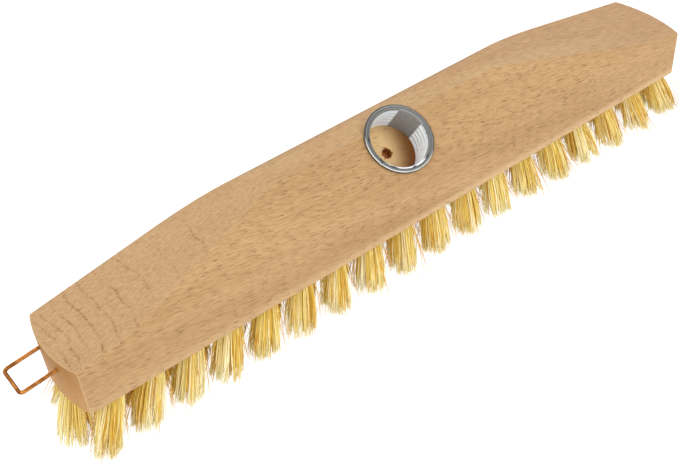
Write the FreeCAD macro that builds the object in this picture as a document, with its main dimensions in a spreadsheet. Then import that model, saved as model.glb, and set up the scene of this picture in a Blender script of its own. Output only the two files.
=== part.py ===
import FreeCAD, Part

import math
import os

import Sketcher

# Scrub brush head: a hipped beech block, a metal screw socket for a handle,
# a wire loop to hang it by, and three rows of plant-fibre tufts held by flat staples.
# X runs along the block with the loop at minus X, minus Y is the side that the handle leans to,
# Z is up, and the origin lies under the middle of the block at the level of the bristle tips.

SIZES = {
    # Beech block, heights above its underside
    "block_length": 300,
    "block_width": 36,
    "end_bow": 3.5,
    "end_height": 20.4,
    "front_height": 24.5,
    "crown_height": 37.2,
    "slope_angle": 34,
    "fall_angle": 10,
    "back_round_share": 0.455,
    "front_round": 2.2,
    "edge_round": 0.8,
    # Screw socket, measured along its own leaning axis
    "socket_setback": 12.6,
    "socket_bore": 23.4,
    "socket_sheet": 0.7,
    "socket_depth": 13.6,
    "socket_clearance": 0.1,
    "rim_diameter": 28.2,
    "rim_height": 1.4,
    "rim_throat": 0.9,
    "pilot_diameter": 4,
    "pilot_depth": 3,
    # Hanging loop
    "wire_diameter": 1.4,
    "loop_width": 13.2,
    "loop_reach": 13.4,
    "loop_bend": 1.5,
    "loop_height": 15.7,
    "loop_droop": 6.7,
    "loop_leg": 12,
    "wire_clearance": 0.05,
    # Bristle tufts
    "bristle_length": 24,
    "hole_diameter": 8.6,
    "hole_depth": 11,
    "tuft_clearance": 0.1,
    "tip_diameter": 11,
    "row_spacing": 12,
    "row_margin": 14.2,
    "row_shift": 1.8,
    "end_margin": 8,
    "row_lean": 1.5,
    "end_lean": 10.5,
    # Staples across the folded roots of the tufts
    "staple_height": 2,
    "staple_sheet": 0.5,
    "staple_drop": 1.6,
    "staple_clearance": 0.05,
    # How far every cut runs past the wood
    "cut_overrun": 5,
}

OUTER_TUFTS = 18
STAGGERED_TUFTS = OUTER_TUFTS - 1
END_TUFTS = 2
TUFT_SIDES = 12
SHARP_CORNER_DEGREES = 3
PLACE_TOLERANCE = 1e-4

doc = FreeCAD.newDocument("scrub_brush")
sheet = doc.addObject("Spreadsheet::Sheet", "Sizes")
for row, (alias, size) in enumerate(SIZES.items(), start=1):
    sheet.set(f"A{row}", alias)
    sheet.set(f"B{row}", str(size))
    sheet.setAlias(f"B{row}", alias)
doc.recompute()

HALF_LENGTH = "Sizes.block_length / 2"
HALF_WIDTH = "Sizes.block_width / 2"
CORNER_X = f"({HALF_LENGTH} - Sizes.end_bow)"
BOW_RADIUS = f"(({HALF_WIDTH})^2 + Sizes.end_bow^2) / (2 * Sizes.end_bow)"
SLOPE = "tan(Sizes.slope_angle)"
FALL = "tan(Sizes.fall_angle)"
CROWN_WIDTH = f"(Sizes.block_width - (Sizes.crown_height - Sizes.front_height) / {SLOPE})"
BACK_ROUND = f"Sizes.back_round_share * {CROWN_WIDTH}"
CUT_TOP = "(Sizes.crown_height + Sizes.cut_overrun)"
BORE_RADIUS = "Sizes.socket_bore / 2"
SLEEVE_RADIUS = f"({BORE_RADIUS} + Sizes.socket_sheet)"
SOCKET_Y = f"Sizes.socket_setback - {HALF_WIDTH}"
SOCKET_Z = f"Sizes.front_height + Sizes.socket_setback * {SLOPE}"
LEG_Y = "Sizes.loop_width / 2"
OUTER_SPAN = "(Sizes.block_length - 2 * Sizes.row_margin)"
STAGGERED_SPAN = f"({OUTER_SPAN} * {STAGGERED_TUFTS - 1} / {STAGGERED_TUFTS})"
END_SPAN = "(Sizes.block_length - 2 * Sizes.end_margin)"
ROOT_RADIUS = "Sizes.hole_diameter / 2 - Sizes.tuft_clearance"
ROOT_TOP = "Sizes.bristle_length + Sizes.hole_depth - Sizes.tuft_clearance"
STAPLE_Z = "Sizes.bristle_length + Sizes.hole_depth - Sizes.staple_drop - Sizes.staple_height"


def value_of(expression):
    """Present value of an expression in the sheet's sizes."""
    answer = sheet.evalExpression(expression)
    return float(getattr(answer, "Value", answer))


def bind(thing, expressions):
    """Drive properties of a document object by expressions."""
    for path, expression in expressions.items():
        thing.setExpression(path, expression)


def new_body(label, places):
    """Body with its own label and bound placement."""
    body = doc.addObject("PartDesign::Body", label)
    body.Label = label
    bind(body, {"Placement." + path: expression for path, expression in places.items()})
    return body


def origin_plane(body, role):
    """One of the body's own three origin planes."""
    return next(item for item in body.Origin.OriginFeatures if item.Role == role)


def turned(axis, angle):
    """Placement turned about an axis by the present value of an angle."""
    return FreeCAD.Placement(FreeCAD.Vector(), FreeCAD.Rotation(FreeCAD.Vector(*axis), value_of(angle)))


def new_plane(body, name, role, offsets, axis=(1, 0, 0)):
    """Construction plane set off from an origin plane by bound offsets, turned about an axis of its own."""
    plane = body.newObject("PartDesign::Plane", name)
    plane.AttachmentSupport = [(origin_plane(body, role), "")]
    plane.MapMode = "FlatFace"
    if "Rotation.Angle" in offsets:
        plane.AttachmentOffset = turned(axis, offsets["Rotation.Angle"])
    bind(plane, {"AttachmentOffset." + path: expression for path, expression in offsets.items()})
    return plane


def new_sketch(body, name, support):
    """Empty sketch that lies flat on a plane."""
    sketch = body.newObject("Sketcher::SketchObject", name)
    sketch.AttachmentSupport = [(support, "")]
    sketch.MapMode = "FlatFace"
    return sketch


def hold(sketch, kind, *held):
    """Constraint whose last argument is the expression that drives it."""
    index = sketch.addConstraint(Sketcher.Constraint(kind, *held[:-1], value_of(held[-1])))
    sketch.setExpression(f"Constraints[{index}]", held[-1])


def draw_circle(sketch, across, up, radius):
    """Circle with bound centre and radius."""
    centre = FreeCAD.Vector(value_of(across), value_of(up))
    circle = sketch.addGeometry(Part.Circle(centre, FreeCAD.Vector(0, 0, 1), value_of(radius)), False)
    hold(sketch, "DistanceX", circle, 3, across)
    hold(sketch, "DistanceY", circle, 3, up)
    hold(sketch, "Radius", circle, radius)


def left_arc(start, end, radius):
    """Arc of up to half a circle that turns left from start to end."""
    chord = end - start
    half = chord.Length / 2
    left = FreeCAD.Vector(-chord.y, chord.x).normalize()
    centre = start + chord / 2 + left * math.sqrt(max(radius ** 2 - half ** 2, 0))
    first = math.atan2(start.y - centre.y, start.x - centre.x)
    last = math.atan2(end.y - centre.y, end.x - centre.x)
    return Part.ArcOfCircle(Part.Circle(centre, FreeCAD.Vector(0, 0, 1), radius), first, last)


def draw_outline(sketch, corners, arcs=None, closed=True):
    """Chain of sides through bound corners; a side listed in arcs bends left or right at a bound radius."""
    arcs = arcs or {}
    places = [FreeCAD.Vector(value_of(across), value_of(up)) for across, up in corners]
    count = len(corners)
    sides = []
    for side in range(count if closed else count - 1):
        start, end = places[side], places[(side + 1) % count]
        if side not in arcs:
            sides.append((sketch.addGeometry(Part.LineSegment(start, end), False), 1, 2))
        elif arcs[side][1] == "left":
            sides.append((sketch.addGeometry(left_arc(start, end, value_of(arcs[side][0])), False), 1, 2))
        else:
            sides.append((sketch.addGeometry(left_arc(end, start, value_of(arcs[side][0])), False), 2, 1))
    for side, (index, _, tail) in enumerate(sides):
        if closed or side + 1 < len(sides):
            follower, head, _ = sides[(side + 1) % len(sides)]
            sketch.addConstraint(Sketcher.Constraint("Coincident", index, tail, follower, head))
    for corner, (across, up) in enumerate(corners):
        if corner < len(sides):
            index, point, _ = sides[corner]
        else:
            index, _, point = sides[-1]
        hold(sketch, "DistanceX", index, point, across)
        hold(sketch, "DistanceY", index, point, up)
    for side, (radius, _) in arcs.items():
        hold(sketch, "Radius", sides[side][0], radius)


def cut(body, name, sketch, depth=None, both_ways=False, upwards=False):
    """Pocket of bound depth, or through everything."""
    pocket = body.newObject("PartDesign::Pocket", name)
    pocket.Profile = sketch
    pocket.Reversed = upwards
    if both_ways:
        pocket.SideType = "Symmetric"
    if depth is None:
        pocket.Type = "ThroughAll"
    else:
        bind(pocket, {"Length": depth})
    doc.recompute()
    return pocket


def round_edges(body, name, base, radius, wanted):
    """Round those edges of a feature that the test picks out."""
    picked = [f"Edge{i}" for i, edge in enumerate(base.Shape.Edges, start=1) if wanted(edge)]
    fillet = body.newObject("PartDesign::Fillet", name)
    fillet.Base = (base, picked)
    bind(fillet, {"Radius": radius})
    doc.recompute()
    return fillet


def edge_through(across, up):
    """Test for an edge along X that passes one place of the cross-section."""
    y, z = value_of(across), value_of(up)

    def wanted(edge):
        offsets = [abs(end.Y - y) for end in edge.Vertexes] + [abs(end.Z - z) for end in edge.Vertexes]
        return max(offsets) < PLACE_TOLERANCE

    return wanted


def sharp_edge(shape):
    """Test for edges where two faces of a shape meet at a corner and don't run on smoothly."""

    def wanted(edge):
        middle = edge.valueAt((edge.FirstParameter + edge.LastParameter) / 2)
        normals = []
        for face in shape.ancestorsOfType(edge, Part.Face):
            u, v = face.Surface.parameter(middle)
            normals.append(face.normalAt(u, v))
        return len(normals) == 2 and math.degrees(normals[0].getAngle(normals[1])) > SHARP_CORNER_DEGREES

    return wanted


def build_block():
    """Beech block: bowed plan, sloping front, rounded back, falling ends, and every drilled hole."""
    body = new_body("beech_block", {"Base.z": "Sizes.bristle_length"})
    plan = new_sketch(body, "BlockPlan", origin_plane(body, "XY_Plane"))
    draw_outline(
        plan,
        [(f"-{CORNER_X}", f"-{HALF_WIDTH}"), (CORNER_X, f"-{HALF_WIDTH}"),
         (CORNER_X, HALF_WIDTH), (f"-{CORNER_X}", HALF_WIDTH)],
        arcs={1: (BOW_RADIUS, "left"), 3: (BOW_RADIUS, "left")},
    )
    blank = body.newObject("PartDesign::Pad", "Blank")
    blank.Profile = plan
    bind(blank, {"Length": "Sizes.crown_height"})
    doc.recompute()

    slope = new_sketch(body, "FrontSlope", origin_plane(body, "YZ_Plane"))
    outside = f"-{HALF_WIDTH} - Sizes.cut_overrun"
    draw_outline(slope, [
        (outside, f"Sizes.front_height - Sizes.cut_overrun * {SLOPE}"),
        (f"({CUT_TOP} - Sizes.front_height) / {SLOPE} - {HALF_WIDTH}", CUT_TOP),
        (outside, CUT_TOP),
    ])
    sloped = cut(body, "SlopeCut", slope, both_ways=True)
    backed = round_edges(body, "BackRound", sloped, BACK_ROUND,
                         edge_through(HALF_WIDTH, "Sizes.crown_height"))
    fronted = round_edges(body, "FrontRound", backed, "Sizes.front_round",
                          edge_through(f"-{HALF_WIDTH}", "Sizes.front_height"))

    falls = new_sketch(body, "EndFalls", origin_plane(body, "XZ_Plane"))
    past_end = f"({HALF_LENGTH} + Sizes.cut_overrun)"
    fall_start = f"({HALF_LENGTH} - ({CUT_TOP} - Sizes.end_height) / {FALL})"
    fall_end = f"Sizes.end_height - Sizes.cut_overrun * {FALL}"
    for way in ("", "-"):
        draw_outline(falls, [
            (way + fall_start, CUT_TOP), (way + past_end, fall_end), (way + past_end, CUT_TOP)])
    fallen = cut(body, "FallCut", falls, both_ways=True)
    eased = round_edges(body, "EasedEdges", fallen, "Sizes.edge_round", sharp_edge(fallen.Shape))

    both_sides = ("-Sizes.row_spacing", "Sizes.row_spacing")
    for name, span, shift, count, lines in (
        ("OuterRows", OUTER_SPAN, "Sizes.row_shift", OUTER_TUFTS, both_sides),
        ("StaggeredRow", STAGGERED_SPAN, "Sizes.row_shift", STAGGERED_TUFTS, ("0",)),
        ("RowEnds", END_SPAN, "0", END_TUFTS, ("0",)),
    ):
        first = new_sketch(body, name + "First", origin_plane(body, "XY_Plane"))
        for y in lines:
            draw_circle(first, f"{shift} - {span} / 2", y, "Sizes.hole_diameter / 2")
        hole = cut(body, name + "Hole", first, "Sizes.hole_depth", upwards=True)
        drilled = body.newObject("PartDesign::LinearPattern", name)
        drilled.Originals = [hole]
        drilled.Direction = (first, ["H_Axis"])
        drilled.Occurrences = count
        bind(drilled, {"Length": span})
        body.Tip = drilled
        doc.recompute()

    seat = new_plane(body, "SocketSeat", "XY_Plane",
                     {"Base.y": SOCKET_Y, "Base.z": SOCKET_Z, "Rotation.Angle": "Sizes.slope_angle"})
    for name, radius, depth in (
        ("SocketHole", f"{SLEEVE_RADIUS} + Sizes.socket_clearance", "Sizes.socket_depth"),
        ("PilotHole", "Sizes.pilot_diameter / 2", "Sizes.socket_depth + Sizes.pilot_depth"),
    ):
        mouth = new_sketch(body, name + "Mouth", seat)
        draw_circle(mouth, "0", "0", radius)
        cut(body, name, mouth, depth)

    depth_plane = new_plane(body, "LegDepth", "YZ_Plane", {
        "Base.z": f"Sizes.loop_leg * cos(Sizes.loop_droop) - {HALF_LENGTH}",
        "Base.y": "Sizes.loop_height + Sizes.loop_leg * sin(Sizes.loop_droop)",
        "Rotation.Angle": "Sizes.loop_droop",
    }, axis=(-1, 0, 0))
    legs = new_sketch(body, "LegHoles", depth_plane)
    for way in ("", "-"):
        draw_circle(legs, way + LEG_Y, "0", "Sizes.wire_diameter / 2 + Sizes.wire_clearance")
    cut(body, "LegHolesCut", legs)
    return body


def build_socket():
    """Sheet-metal screw socket with a rolled rim that seats on the sloping front."""
    body = new_body("threaded_socket", {"Base.y": SOCKET_Y, "Base.z": f"Sizes.bristle_length + {SOCKET_Z}"})
    body.Placement = turned((1, 0, 0), "Sizes.slope_angle")
    bind(body, {"Placement.Rotation.Angle": "Sizes.slope_angle"})
    section = new_sketch(body, "SocketSection", origin_plane(body, "XZ_Plane"))
    foot = "Sizes.socket_clearance - Sizes.socket_depth"
    roll = "Sizes.rim_height / 2"
    roll_start = f"Sizes.rim_diameter / 2 - {roll}"
    draw_outline(
        section,
        [(BORE_RADIUS, foot), (SLEEVE_RADIUS, foot), (SLEEVE_RADIUS, "0"),
         (roll_start, "0"), ("Sizes.rim_diameter / 2", roll), (roll_start, "Sizes.rim_height"),
         (f"{BORE_RADIUS} + Sizes.rim_throat", "Sizes.rim_height"),
         (BORE_RADIUS, "Sizes.rim_height - Sizes.rim_throat")],
        arcs={3: (roll, "left"), 4: (roll, "left"), 6: ("Sizes.rim_throat", "left")},
    )
    sleeve = body.newObject("PartDesign::Revolution", "Sleeve")
    sleeve.Profile = section
    sleeve.ReferenceAxis = (section, ["V_Axis"])
    doc.recompute()
    return body


def build_loop():
    """Hanging loop: one wire bent to a square U that droops outward, its legs driven into the block."""
    body = new_body("hanging_loop", {
        "Base.x": f"-{HALF_LENGTH}", "Base.z": "Sizes.bristle_length + Sizes.loop_height"})
    body.Placement = turned((0, -1, 0), "Sizes.loop_droop")
    bind(body, {"Placement.Rotation.Angle": "Sizes.loop_droop"})
    route = new_sketch(body, "LoopRoute", origin_plane(body, "XY_Plane"))
    far = "-Sizes.loop_reach"
    bent = "(Sizes.loop_bend - Sizes.loop_reach)"
    inner = f"({LEG_Y} - Sizes.loop_bend)"
    draw_outline(
        route,
        [("Sizes.loop_leg", f"-{LEG_Y}"), (bent, f"-{LEG_Y}"), (far, f"-{inner}"),
         (far, inner), (bent, LEG_Y), ("Sizes.loop_leg", LEG_Y)],
        arcs={1: ("Sizes.loop_bend", "right"), 3: ("Sizes.loop_bend", "right")},
        closed=False,
    )
    start = new_plane(body, "LegStart", "YZ_Plane", {"Base.z": "Sizes.loop_leg"})
    wire = new_sketch(body, "WireSection", start)
    draw_circle(wire, f"-{LEG_Y}", "0", "Sizes.wire_diameter / 2")
    doc.recompute()
    bent_wire = body.newObject("PartDesign::AdditivePipe", "BentWire")
    bent_wire.Profile = wire
    bent_wire.Spine = (route, [f"Edge{i}" for i in range(1, len(route.Shape.Edges) + 1)])
    doc.recompute()
    return body


def new_box(name, centre_x, centre_y, bottom, sides):
    """Box of bound sides, centred over a bound place."""
    box = doc.addObject("Part::Box", name)
    length, width, height = sides
    bind(box, {
        "Length": length,
        "Width": width,
        "Height": height,
        "Placement.Base.x": f"{centre_x} - ({length}) / 2",
        "Placement.Base.y": f"{centre_y} - ({width}) / 2",
        "Placement.Base.z": bottom,
    })
    return box


def build_tuft(label, x, y, lean_x, lean_y):
    """Tuft that fans out from its hole to its tips, slotted for its staple."""
    sections = []
    for level, place_x, place_y, place_z, radius in (
        ("root", x, y, ROOT_TOP, ROOT_RADIUS),
        ("mouth", x, y, "Sizes.bristle_length", ROOT_RADIUS),
        ("tips", f"{x} + {lean_x}", f"{y} + {lean_y}", "0", "Sizes.tip_diameter / 2"),
    ):
        section = doc.addObject("Part::RegularPolygon", f"{label}_{level}")
        section.Polygon = TUFT_SIDES
        bind(section, {"Circumradius": radius, "Placement.Base.x": place_x,
                       "Placement.Base.y": place_y, "Placement.Base.z": place_z})
        sections.append(section)
    fan = doc.addObject("Part::Loft", label + "_fan")
    fan.Sections = sections
    fan.Solid = True
    fan.Ruled = True
    slot = new_box(label + "_slot", x, y, f"{STAPLE_Z} - Sizes.staple_clearance", (
        "Sizes.hole_diameter",
        "Sizes.staple_sheet + 2 * Sizes.staple_clearance",
        "Sizes.staple_height + 2 * Sizes.staple_clearance",
    ))
    tuft = doc.addObject("Part::Cut", label)
    tuft.Label = label
    tuft.Base = fan
    tuft.Tool = slot
    staple = new_box(label + "_staple", x, y, STAPLE_Z, (
        "Sizes.hole_diameter - 2 * Sizes.staple_clearance", "Sizes.staple_sheet", "Sizes.staple_height"))
    return tuft, staple


def row_places(span, shift, count):
    """Evenly spaced places along X over a bound span."""
    shares = [2 * place / (count - 1) - 1 for place in range(count)]
    return [f"({shift} + {span} / 2 * ({share:.6f}))" for share in shares]


def build_tufts():
    """Three rows of tufts, leaning out more towards the ends; the middle row stands between the outer two."""
    outer = row_places(OUTER_SPAN, "Sizes.row_shift", OUTER_TUFTS)
    first, last = row_places(END_SPAN, "0", END_TUFTS)
    middle = [first] + row_places(STAGGERED_SPAN, "Sizes.row_shift", STAGGERED_TUFTS) + [last]
    tufts, staples = [], []
    for row, places, y, lean_y in (
        ("front", outer, "-Sizes.row_spacing", "(-Sizes.row_lean)"),
        ("middle", middle, "0", "0"),
        ("back", outer, "Sizes.row_spacing", "Sizes.row_lean"),
    ):
        for number, x in enumerate(places, start=1):
            lean_x = f"Sizes.end_lean * 2 * {x} / {OUTER_SPAN}"
            tuft, staple = build_tuft(f"tuft_{row}_{number:02d}", x, y, lean_x, lean_y)
            tufts.append(tuft)
            staples.append(staple)
    strips = doc.addObject("Part::Compound", "tuft_staples")
    strips.Label = "tuft_staples"
    strips.Links = staples
    doc.recompute()
    return tufts + [strips]


pieces = [build_block(), build_socket(), build_loop()] + build_tufts()
doc.recompute()

for thing in doc.Objects:
    if "Invalid" in thing.State or "Error" in thing.State:
        raise RuntimeError(f"{thing.Label} did not build: {thing.State}")
for piece in pieces:
    if piece.Shape.isNull() or not piece.Shape.isValid() or not piece.Shape.Solids:
        raise RuntimeError(f"{piece.Label} has no sound solid")

os.makedirs("parts", exist_ok=True)
for piece in pieces:
    piece.Shape.exportStep(f"parts/{piece.Label}.step")
    print(piece.Label, len(piece.Shape.Solids), round(piece.Shape.Volume, 2))
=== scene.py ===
import logging
import math
from collections.abc import Iterable, Mapping, Sequence
from dataclasses import dataclass, field
from enum import Enum
from typing import Any

import bpy
import numpy as np
from mathutils import Matrix, Vector


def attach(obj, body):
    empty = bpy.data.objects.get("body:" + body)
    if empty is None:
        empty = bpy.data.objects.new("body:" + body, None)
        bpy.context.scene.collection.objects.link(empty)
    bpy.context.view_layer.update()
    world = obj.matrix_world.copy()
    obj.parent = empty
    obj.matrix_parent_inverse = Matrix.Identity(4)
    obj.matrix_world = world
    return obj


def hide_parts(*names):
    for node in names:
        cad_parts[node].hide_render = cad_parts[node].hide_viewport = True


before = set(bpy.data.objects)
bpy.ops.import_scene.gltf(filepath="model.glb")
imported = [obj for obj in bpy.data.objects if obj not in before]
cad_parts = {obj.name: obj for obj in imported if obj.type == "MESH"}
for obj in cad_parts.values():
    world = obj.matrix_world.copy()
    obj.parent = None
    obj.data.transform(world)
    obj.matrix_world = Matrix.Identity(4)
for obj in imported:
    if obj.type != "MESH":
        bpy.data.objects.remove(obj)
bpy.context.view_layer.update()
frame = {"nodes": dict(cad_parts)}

LOG = logging.getLogger("scrub_brush")
BODY = "root"
MM = 0.001
PER_METRE = 1000.0

Pair = tuple[float, float]
Triple = tuple[float, float, float]
Colour = tuple[float, float, float, float]


class Slot(Enum):
    """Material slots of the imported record."""

    BEECH = "beech"
    TINNED_STEEL = "tinned_steel"
    COPPER_WIRE = "copper_wire"
    STAPLE_WIRE = "staple_wire"
    FIBRE = "bristle_fibre"


class Row(Enum):
    """Rows of tufts, by the middle part of their nodes' names."""

    FRONT = "front"
    MIDDLE = "middle"
    BACK = "back"


def srgb(red: float, green: float, blue: float) -> Colour:
    """Turn a screen colour into the linear colour that shaders take.

    Args:
        red: Red level from 0 to 255.
        green: Green level from 0 to 255.
        blue: Blue level from 0 to 255.

    Returns:
        The linear colour with full alpha.
    """
    levels = np.array([red, green, blue]) / 255
    linear = np.where(levels <= 0.04045, levels / 12.92, ((levels + 0.055) / 1.055) ** 2.4)
    return (float(linear[0]), float(linear[1]), float(linear[2]), 1.0)


class Graph:
    """Adds shader nodes to one tree and links them.

    Args:
        tree: Node tree of a material, a world or a group.
    """

    def __init__(self, tree: bpy.types.NodeTree) -> None:
        self.tree = tree

    def add(self, kind: str, inputs: Mapping[Any, Any] | None = None, **settings: Any) -> bpy.types.Node:
        """Add one node.

        Args:
            kind: Blender's name of the node type.
            inputs: Input name or number to a value or an output socket.
            **settings: Properties of the node itself.

        Returns:
            The new node.
        """
        node = self.tree.nodes.new(kind)
        for name, value in settings.items():
            setattr(node, name, value)
        self.feed(node, inputs or {})
        return node

    def feed(self, node: bpy.types.Node, inputs: Mapping[Any, Any]) -> None:
        """Link or set inputs of a node.

        Args:
            node: Node that takes the inputs.
            inputs: Input name or number to a value or an output socket.
        """
        for key, value in inputs.items():
            if isinstance(value, bpy.types.NodeSocket):
                self.tree.links.new(value, node.inputs[key])
            else:
                node.inputs[key].default_value = value

    def math(self, operation: str, *values: Any) -> bpy.types.NodeSocket:
        """Add a sum of numbers.

        Args:
            operation: Blender's name of the operation.
            *values: Numbers or output sockets.

        Returns:
            The result's socket.
        """
        return self.add("ShaderNodeMath", dict(enumerate(values)), operation=operation).outputs[0]

    def product(self, *values: Any) -> bpy.types.NodeSocket:
        """Multiply numbers.

        Args:
            *values: Two or more numbers or output sockets.

        Returns:
            The result's socket.
        """
        result = values[0]
        for value in values[1:]:
            result = self.math("MULTIPLY", result, value)
        return result

    def vector(self, operation: str, *values: Any) -> bpy.types.NodeSocket:
        """Add a sum of vectors.

        Args:
            operation: Blender's name of the operation.
            *values: Vectors or output sockets.

        Returns:
            The result's socket, a number for dot products and lengths.
        """
        node = self.add("ShaderNodeVectorMath", dict(enumerate(values)), operation=operation)
        return node.outputs["Value" if operation in ("DOT_PRODUCT", "LENGTH") else "Vector"]

    def scaled(self, vector: Triple, factor: bpy.types.NodeSocket) -> bpy.types.NodeSocket:
        """Scale a vector.

        Args:
            vector: Vector to scale.
            factor: Output socket of the number that scales it.

        Returns:
            The scaled vector's socket.
        """
        node = self.add("ShaderNodeVectorMath", {0: vector, "Scale": factor}, operation="SCALE")
        return node.outputs["Vector"]

    def millimetres(self) -> bpy.types.NodeSocket:
        """Add the place on the object.

        Returns:
            The place's socket, in millimetres.
        """
        place = self.add("ShaderNodeTexCoord").outputs["Object"]
        return self.vector("MULTIPLY", place, (PER_METRE,) * 3)

    def attribute(self, name: str) -> bpy.types.NodeSocket:
        """Add a number that the mesh stores at its points.

        Args:
            name: The attribute's name.

        Returns:
            The number's socket.
        """
        return self.add("ShaderNodeAttribute", attribute_name=name).outputs["Fac"]

    def split(self, vector: bpy.types.NodeSocket) -> Sequence[bpy.types.NodeSocket]:
        """Split a vector into its three numbers.

        Args:
            vector: Output socket of a vector.

        Returns:
            The sockets of x, y and z.
        """
        return self.add("ShaderNodeSeparateXYZ", {0: vector}).outputs

    def noise(self, place: bpy.types.NodeSocket, stretch: Sequence[float],
              detail: float = 2.0) -> bpy.types.NodeSocket:
        """Add noise with its own fineness along each axis.

        Args:
            place: Output socket of a place.
            stretch: Features for each unit of length along x, y and z.
            detail: Number of finer layers.

        Returns:
            The noise's socket, mostly between 0.25 and 0.75.
        """
        stretched = self.vector("MULTIPLY", place, tuple(stretch))
        inputs = {"Vector": stretched, "Scale": 1.0, "Detail": detail}
        return self.add("ShaderNodeTexNoise", inputs).outputs[0]

    def step(self, value: Any, low: float, high: float, start: float = 0.0,
             end: float = 1.0) -> bpy.types.NodeSocket:
        """Add a smooth step between two levels.

        Args:
            value: Number that is tested.
            low: Level where the step begins.
            high: Level where the step ends.
            start: Result at the low level.
            end: Result at the high level.

        Returns:
            The result's socket.
        """
        node = self.add("ShaderNodeMapRange", {0: value, 1: low, 2: high, 3: start, 4: end},
                        interpolation_type="SMOOTHSTEP")
        return node.outputs[0]

    def blend(self, share: Any, first: Any, second: Any) -> bpy.types.NodeSocket:
        """Add a blend of two colours.

        Args:
            share: Share of the second colour.
            first: First colour or its socket.
            second: Second colour or its socket.

        Returns:
            The blended colour's socket.
        """
        return self.add("ShaderNodeMix", {0: share, 6: first, 7: second}, data_type="RGBA").outputs[2]

    def ramp(self, value: bpy.types.NodeSocket,
             stops: Iterable[tuple[float, Colour]]) -> bpy.types.NodeSocket:
        """Add a ramp of colours.

        Args:
            value: Number that picks the colour.
            stops: Levels from 0 to 1 with their colours.

        Returns:
            The colour's socket.
        """
        node = self.add("ShaderNodeValToRGB", {0: value})
        elements = node.color_ramp.elements
        for index, (level, colour) in enumerate(stops):
            element = elements[index] if index < len(elements) else elements.new(level)
            element.position = level
            element.color = colour
        return node.outputs[0]


class MottleGroup:
    """Shared group of nodes for metals: cloudy patches, drawing lines and small dark specks."""

    NAME = "metal_mottle"
    OUTPUTS = ("Cloud", "Lines", "Specks")
    CLOUDS_PER_MM = (0.35, 0.35, 0.35)
    LINES_PER_MM = (0.4, 5.0, 5.0)
    SPECKS_PER_MM = (0.8, 0.8, 0.8)

    def tree(self) -> bpy.types.NodeTree:
        """Find the group, or make it the first time.

        Returns:
            The group's node tree.
        """
        found = bpy.data.node_groups.get(self.NAME)
        if found:
            return found
        made = bpy.data.node_groups.new(self.NAME, "ShaderNodeTree")
        made.interface.new_socket("Place", in_out="INPUT", socket_type="NodeSocketVector")
        for name in self.OUTPUTS:
            made.interface.new_socket(name, in_out="OUTPUT", socket_type="NodeSocketFloat")
        graph = Graph(made)
        place = graph.add("NodeGroupInput").outputs[0]
        cloud = graph.step(graph.noise(place, self.CLOUDS_PER_MM, 4.0), 0.35, 0.65)
        lines = graph.step(graph.noise(place, self.LINES_PER_MM, 3.0), 0.3, 0.7)
        specks = graph.step(graph.noise(place, self.SPECKS_PER_MM), 0.66, 0.72)
        graph.add("NodeGroupOutput", {"Cloud": cloud, "Lines": lines, "Specks": specks})
        return made

    def use(self, graph: Graph) -> Mapping[str, bpy.types.NodeSocket]:
        """Put the group into a material.

        Args:
            graph: Material's nodes.

        Returns:
            The group's outputs by name.
        """
        node = graph.add("ShaderNodeGroup", node_tree=self.tree())
        graph.feed(node, {0: graph.millimetres()})
        return node.outputs


@dataclass(frozen=True)
class Finish:
    """Base of the finishes: a named material with one Principled shader."""

    name: str

    def material(self) -> bpy.types.Material:
        """Make the finish's material.

        Returns:
            The material.
        """
        made = bpy.data.materials.new(self.name)
        made.use_nodes = True
        made.node_tree.nodes.clear()
        graph = Graph(made.node_tree)
        shader = graph.add("ShaderNodeBsdfPrincipled")
        graph.add("ShaderNodeOutputMaterial", {"Surface": shader.outputs[0]})
        self.paint(graph, shader)
        return made

    def paint(self, graph: Graph, shader: bpy.types.Node) -> None:
        """Colour the shader.

        Args:
            graph: Material's nodes.
            shader: The Principled shader.
        """
        raise NotImplementedError

    def dress(self, piece: bpy.types.Object) -> None:
        """Give a piece this finish alone.

        Args:
            piece: Mesh object.
        """
        piece.data.materials.clear()
        piece.data.materials.append(self.material())


@dataclass(frozen=True)
class Dashes:
    """One kind of fleck in the wood.

    The fineness is cells for each millimetre along x, y and z, and bare is the share of empty cells.
    """

    fineness: Triple
    bare: float
    strength: float


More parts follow.
